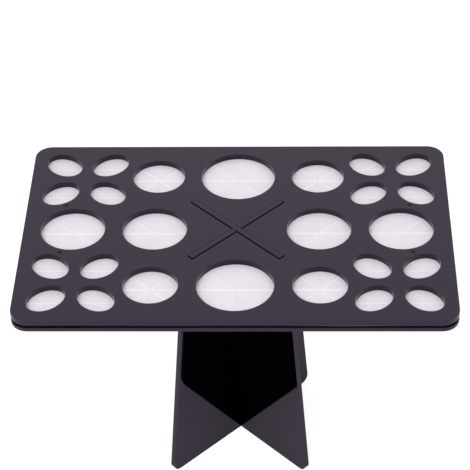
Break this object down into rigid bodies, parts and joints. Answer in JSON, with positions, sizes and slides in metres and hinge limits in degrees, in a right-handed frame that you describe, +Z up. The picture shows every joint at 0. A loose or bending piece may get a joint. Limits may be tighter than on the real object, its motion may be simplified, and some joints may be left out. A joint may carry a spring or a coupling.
{
  "type": "makeup brush drying rack",
  "caption": "Flat two-layer tray of round and oval holes over a slit silicone sheet, on two crossed plates that slot into an X, for drying brushes head down.",
  "frame": {"origin": "on the surface that the rack stands on, under the middle of the tray", "axes": "+Z up, +Y to the back, +X to the right along the tray's long side"},
  "size_m": [0.2, 0.129, 0.128],
  "materials": {
    "black_acrylic": "polished black acrylic",
    "silicone": "smooth translucent white silicone",
    "black_pin": "moulded black plastic"
  },
  "bodies": {
    "lower_leg": {"lower_leg": "black_acrylic"},
    "upper_leg": {"upper_leg": "black_acrylic"},
    "tray": {"top_board": "black_acrylic", "silicone_sheet": "silicone", "lower_board": "black_acrylic", "press_pin_back_right": "black_pin", "press_pin_back_left": "black_pin", "press_pin_front_right": "black_pin", "press_pin_front_left": "black_pin"}
  },
  "joints": [
    {"name": "upper_leg_slide", "type": "slide", "parent": "lower_leg", "child": "upper_leg", "axis": [0, 0, 1], "range_m": [0, 0.068]},
    {"name": "tray_slide", "type": "slide", "parent": "upper_leg", "child": "tray", "axis": [0, 0, 1], "range_m": [0, 0.012]}
  ]
}
